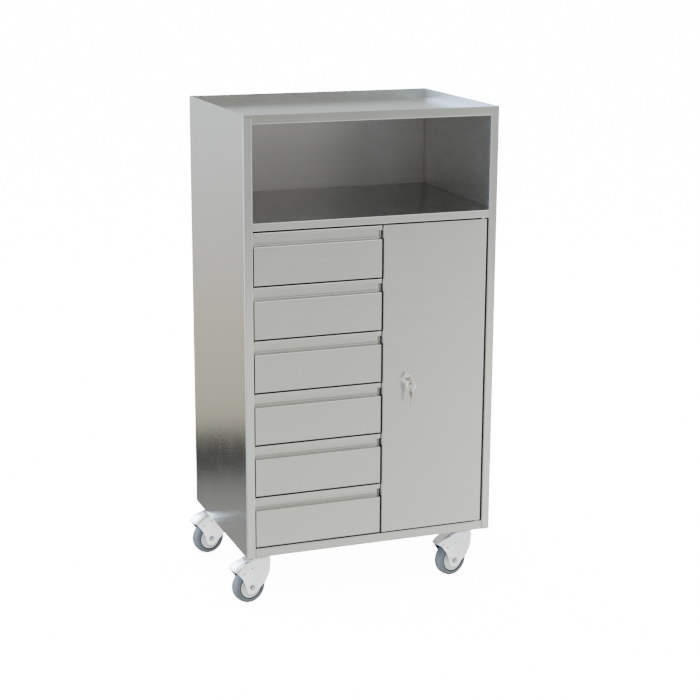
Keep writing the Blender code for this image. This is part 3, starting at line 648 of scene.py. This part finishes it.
def add_casters(finish):
    """Four casters from one set of shapes. The top stays with the cabinet, and the rest swivels."""
    kinds = [
        # kind, shape, finish, rounding of its edges, node, body, slot
        ("fork", fork(), "zinc", 0.0005, "caster_fork_{}", "caster_{}", "bright_zinc"),
        ("bolt", axle(), "bolt", 0.00015, "wheel_axle_{}", "caster_{}", "bright_zinc"),
        ("hub", hub(), "plastic", 0, "wheel_hub_{}", "rolling_wheel_{}", "hub_plastic"),
        ("tyre", tyre(), "rubber", 0, "wheel_tyre_{}", "rolling_wheel_{}", "tyre_rubber"),
        ("top", caster_top(), "zinc", 0.0003, "caster_plate_{}", "cabinet", "bright_zinc"),
    ]
    wheel_centre = Matrix.Translation((-TRAIL, 0, -AXLE_DROP))
    for kind, shape, look, edge, node, body, slot in kinds:
        if kind in DARK_RINGS:
            darken_ring(shape, *DARK_RINGS[kind])
        for corner in CORNERS:
            low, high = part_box(f"caster_plate_{corner}")
            place = Matrix.Translation(((low.x + high.x) / 2, (low.y + high.y) / 2, UNDERSIDE))
            if kind != "top":
                place = place @ Matrix.Rotation(CASTER_ANGLE, 4, "Z")
            if kind in ("bolt", "hub", "tyre"):
                place = place @ wheel_centre
            piece = show(f"look_{kind}_{corner}", shape.copy(), finish[look],
                         body.format(corner), node.format(corner), place)
            if kind in DARK_RINGS:
                piece.data.materials.append(finish["groove"])
            if edge:
                soften(piece, edge, 2, 40)
        shape.free()


# ---------------------------------------------------------------- lock and keys

def lock_face():
    """The lock's barrel with a turned and polished flange on the front of the door."""
    flange = [(0.00608, -0.0014), (0.0064, -0.0019), (0.0078, -0.0020), (0.0098, -0.0019), (0.0106, -0.0016)]
    barrel = [(0.0110, -0.0011), (0.0110, -0.0003), (0.0090, -0.0003), (0.0090, 0.0242), (0.00608, 0.0242)]
    return along_y(turned(flange + barrel, 64))


def lock_core():
    """The plug, with the slot that the key is in and the hole for the cam's screw."""
    plug = [(0, -0.0022), (0.0052, -0.0022), (0.0060, -0.0016), (0.0060, 0.0242), (0.0035, 0.0242)]
    hole = [(0.0035, 0.0270), (0.0018, 0.0270), (0.0018, 0.0190), (0, 0.0190)]
    slot = [(-0.0013, -0.0041), (0.0013, -0.0041), (0.0013, 0.0041), (-0.0013, 0.0041)]
    return cut(along_y(turned(plug + hole, 48)), prism(slot, "Y", -0.01, 0.0143))


def key():
    """A flat key along Y with its tip at +Y: round bow with a hole, cut blade and a groove in each face."""
    bow = arc((BOW_Y, 0), BOW_RADIUS, 24, 336, 40)
    blade = [(-0.0060, -0.0038), (0.0118, -0.0038), (0.0140, -0.0016), (0.0140, 0.0006), (0.0124, 0.0022)]
    tip_cuts = [(0.0106, 0.0022), (0.0096, 0.0032), (0.0080, 0.0014), (0.0062, 0.0014), (0.0050, 0.0030)]
    bow_cuts = [(0.0036, 0.0030), (0.0024, 0.0018), (0.0008, 0.0018), (-0.0006, 0.0038), (-0.0060, 0.0038)]
    body = prism(bow + vectors(*blade, *tip_cuts, *bow_cuts), "X", -KEY_THICKNESS / 2, KEY_THICKNESS / 2)
    hole = shifted(across_x(rod(KEY_HOLE_RADIUS, -0.01, 0.01, 32)), 0, KEY_HOLE_Y)
    groove = [(-0.0050, -0.0012), (0.0200, -0.0012), (0.0200, -0.0002), (-0.0050, -0.0002)]
    return cut(body, hole, prism(groove, "X", -0.0020, -0.0006), prism(groove, "X", 0.0006, 0.0020))


def split_ring():
    """Almost two turns of flattened wire side by side, which hang from their topmost point."""
    rings = []
    for step in range(RING_STEPS + 1):
        share = step / RING_STEPS
        angle = math.tau * RING_TURNS * share
        out = Vector((math.sin(angle), 0, math.cos(angle)))
        centre = out * RING_RADIUS + Vector((0, (share - 0.5) * RING_PITCH, -RING_RADIUS))
        ring = []
        for side in range(WIRE_SIDES):
            around = math.tau * side / WIRE_SIDES
            ring.append(centre + out * WIRE_RADIUS * WIRE_FLATNESS * math.cos(around)
                        + Vector((0, WIRE_RADIUS * math.sin(around), 0)))
        rings.append(ring)
    return skinned(rings)


def add_lock(finish):
    """The lock with a key in it, and a second key that hangs from the ring through the first one's hole."""
    at_lock = Matrix.Translation(LOCK)
    at_hole = Matrix.Translation(LOCK + Vector((0, KEY_HOLE_Y, 0)))
    below = Matrix.Translation(LOCK + Vector((0, KEY_HOLE_Y, -2 * RING_RADIUS)))
    hung = below @ Matrix.Rotation(-math.pi / 2, 4, "X") @ Matrix.Translation((0, -KEY_HOLE_Y, 0))
    pieces = [
        # name, shape, finish, rounding of its edges, node, body, slot, place
        ("lock_barrel", lock_face(), "chrome", LOCK_EDGE, "lock_housing", "door", "lock_chrome", at_lock),
        ("lock_plug", lock_core(), "chrome", LOCK_EDGE, "lock_plug", "lock_core", "lock_chrome", at_lock),
        ("key", key(), "nickel", KEY_EDGE, "key", "lock_core", "key_nickel", at_lock),
        ("key_ring", split_ring(), "chrome", 0, "key_ring", "ring", "lock_chrome", at_hole),
        ("hanging_key", key(), "nickel", KEY_EDGE, "spare_key", "hanging_key", "key_nickel", hung),
    ]
    for name, shape, look, edge, node, body, slot, place in pieces:
        piece = show(f"look_{name}", shape, finish[look], body, node, place)
        if edge:
            soften(piece, edge)


# ---------------------------------------------------------------- floor, light and camera

class Sky(Graph):
    """The world under construction: masks and ramps over the direction that is looked in."""

    def __init__(self):
        world = bpy.data.worlds.new("studio")
        super().__init__(world)
        bpy.context.scene.world = world
        self.direction = self.node("ShaderNodeTexCoord", output="Generated")

    def toward(self, x, y, z=0.0):
        """How far the direction points one way: 1 along it, 0 square to it."""
        values = {0: self.direction, 1: Vector((x, y, z)).normalized()}
        return self.node("ShaderNodeVectorMath", values, output="Value", operation="DOT_PRODUCT")

    def faded(self, source, low, high):
        """A mask that goes softly from 0 to 1 as the source goes from low to high."""
        return self.ranged(source, low, high, 0.0, 1.0, "SMOOTHSTEP")

    def patch(self, direction, edge, full):
        """A round mask about one direction: 0 outside its edge and 1 inside the full part, as cosines."""
        return self.faded(self.toward(*direction), edge, full)

    def ramp(self, source, stops):
        """A ramp from (place, level, tint) stops."""
        made = self.nodes.new("ShaderNodeValToRGB")
        while len(made.color_ramp.elements) < len(stops):
            made.color_ramp.elements.new(0.5)
        for element, (place, level, tint) in zip(made.color_ramp.elements, stops):
            element.position = place
            element.color = (*(level * part for part in tint), 1)
        self.links.new(source, made.inputs[0])
        return made.outputs[0]


def add_world():
    """Light from every direction, for the metal to mirror. Seen directly it is plain and near white."""
    sky = Sky()
    plain = (1, 1, 1)
    warm = (1, 0.99, 0.955)
    cool = (0.96, 0.985, 1.02)
    sand = (1, 0.925, 0.75)

    # From 0 straight down to 1 straight up. To the photo's camera, the fronts mirror the front half of the
    # world, and the left side and the tray mirror the half behind.
    height = sky.ranged(sky.toward(0, 0, 1), -1.0, 1.0, 0.0, 1.0)
    front = sky.ramp(height, [
        (0.00, 0.90, plain),
        (0.22, 1.60, plain),
        (0.34, 1.42, warm),
        (0.38, 1.32, warm),
        (0.41, 0.62, plain),
        (0.48, 0.50, plain),
        (0.55, 0.32, plain),
        (0.61, 0.46, warm),
        (0.64, 0.62, warm),
        (0.675, 1.20, sand),
        (0.72, 1.60, warm),
        (0.84, 2.00, cool),
        (1.00, 2.40, cool),
    ])
    behind = sky.ramp(height, [
        (0.00, 0.90, plain),
        (0.25, 1.55, plain),
        (0.30, 0.54, plain),
        (0.332, 0.40, warm),
        (0.340, 0.27, warm),
        (0.3435, 0.03, plain),
        (0.3515, 0.03, cool),
        (0.3570, 0.78, sand),
        (0.38, 0.89, sand),
        (0.41, 1.02, warm),
        (0.45, 1.32, cool),
        (0.54, 0.95, cool),
        (0.70, 1.00, cool),
        (1.00, 2.40, cool),
    ])
    # The front half also changes towards the right, from 0 straight ahead to 1 square to the right side
    across = sky.ramp(sky.toward(1, 0), [
        (0.00, 1.35, plain),
        (0.19, 1.30, plain),
        (0.27, 0.80, plain),
        (0.33, 1.08, plain),
        (0.365, 0.96, plain),
        (0.39, 1.04, plain),
        (0.43, 1.60, plain),
        (1.00, 1.70, plain),
    ])
    front = sky.mixed(1.0, front, across, "MULTIPLY")
    seen = sky.mixed(sky.patch((-0.2, 1.0), 0.0, 0.6), front, behind)

    below = sky.faded(height, 0.52, 0.46)
    above = sky.faded(height, 0.50, 0.54)
    patches = [
        # Shade low on the front left
        (sky.math("MULTIPLY", sky.patch((-0.5, -0.85), 0.70, 0.97), below), (0.72, 0.71, 0.70)),
        # Straight in front, to the right, and high on the front right
        (sky.patch((-0.12, -0.99, 0.05), 0.92, 0.965), (1.35, 1.36, 1.37)),
        (sky.patch((0.85, -0.5), 0.84, 0.97), (1.65, 1.68, 1.70)),
        (sky.patch((0.65, -0.55, 0.52), 0.86, 0.94), (2.1, 2.15, 2.2)),
        # Blue above the horizon at the back left, glare high over it for the forks' crowns, and the left
        (sky.math("MULTIPLY", sky.patch((-0.62, 0.78, 0.2), 0.76, 0.90), above), (2.2, 3.6, 6.2)),
        (sky.patch((-0.47, 0.69, 0.55), 0.88, 0.95), (9.0, 11.0, 13.5)),
        (sky.patch((-1.0, 0.0), 0.78, 0.94), (4.2, 5.0, 6.2)),
    ]
    for mask, colour in patches:
        seen = sky.mixed(mask, seen, (*colour, 1))
    camera_ray = sky.node("ShaderNodeLightPath", output="Is Camera Ray")
    sky.set(sky.nodes["Background"], {"Color": sky.mixed(camera_ray, seen, (15, 15, 15, 1))})


def add_floor():
    """A wide pale floor that glows a little, so that it stays near white. The metal doesn't mirror it."""
    shape = bmesh.new()
    corners = ((-FLOOR_REACH, -FLOOR_REACH), (FLOOR_REACH, -FLOOR_REACH), (FLOOR_REACH, FLOOR_REACH),
               (-FLOOR_REACH, FLOOR_REACH))
    shape.faces.new([shape.verts.new((x, y, FLOOR_HEIGHT)) for x, y in corners])
    glow = {"Emission Color": (1, 1, 1, 1), "Emission Strength": FLOOR_GLOW, "Specular IOR Level": 0.0}
    look = Look("pale_floor", (0.86, 0.86, 0.86), 0.0, 0.9, **glow)
    floor = object_of("studio_floor", shape, look.material)
    floor.visible_glossy = False
    floor.visible_diffuse = False


def add_lamps():
    """Soft lamps that the metal doesn't mirror."""
    for name, place, side, power, colour in LAMPS:
        light = bpy.data.lights.new(name, "AREA")
        light.shape = "RECTANGLE"
        light.size = side
        light.size_y = side
        light.energy = power
        light.color = colour
        lamp = link(bpy.data.objects.new(name, light))
        lamp.location = place
        lamp.rotation_euler = (LAMP_TARGET - Vector(place)).to_track_quat("-Z", "Y").to_euler()
        lamp.visible_glossy = False


def add_camera():
    camera = link(bpy.data.objects.new("camera", bpy.data.cameras.new("camera")))
    camera.data.lens = CAMERA_LENS
    camera.data.sensor_width = SENSOR_WIDTH
    turn = Matrix.Rotation(CAMERA_TURN, 4, "Z") @ Matrix.Rotation(CAMERA_TILT, 4, "X")
    camera.matrix_world = Matrix.Translation(CAMERA_PLACE) @ turn @ Matrix.Rotation(CAMERA_ROLL, 4, "Z")
    bpy.context.scene.camera = camera


def main():
    finish = finishes()
    dress_cad(finish)
    add_tray_seam(finish)
    add_casters(finish)
    add_lock(finish)
    add_world()
    add_floor()
    add_lamps()
    add_camera()


main()
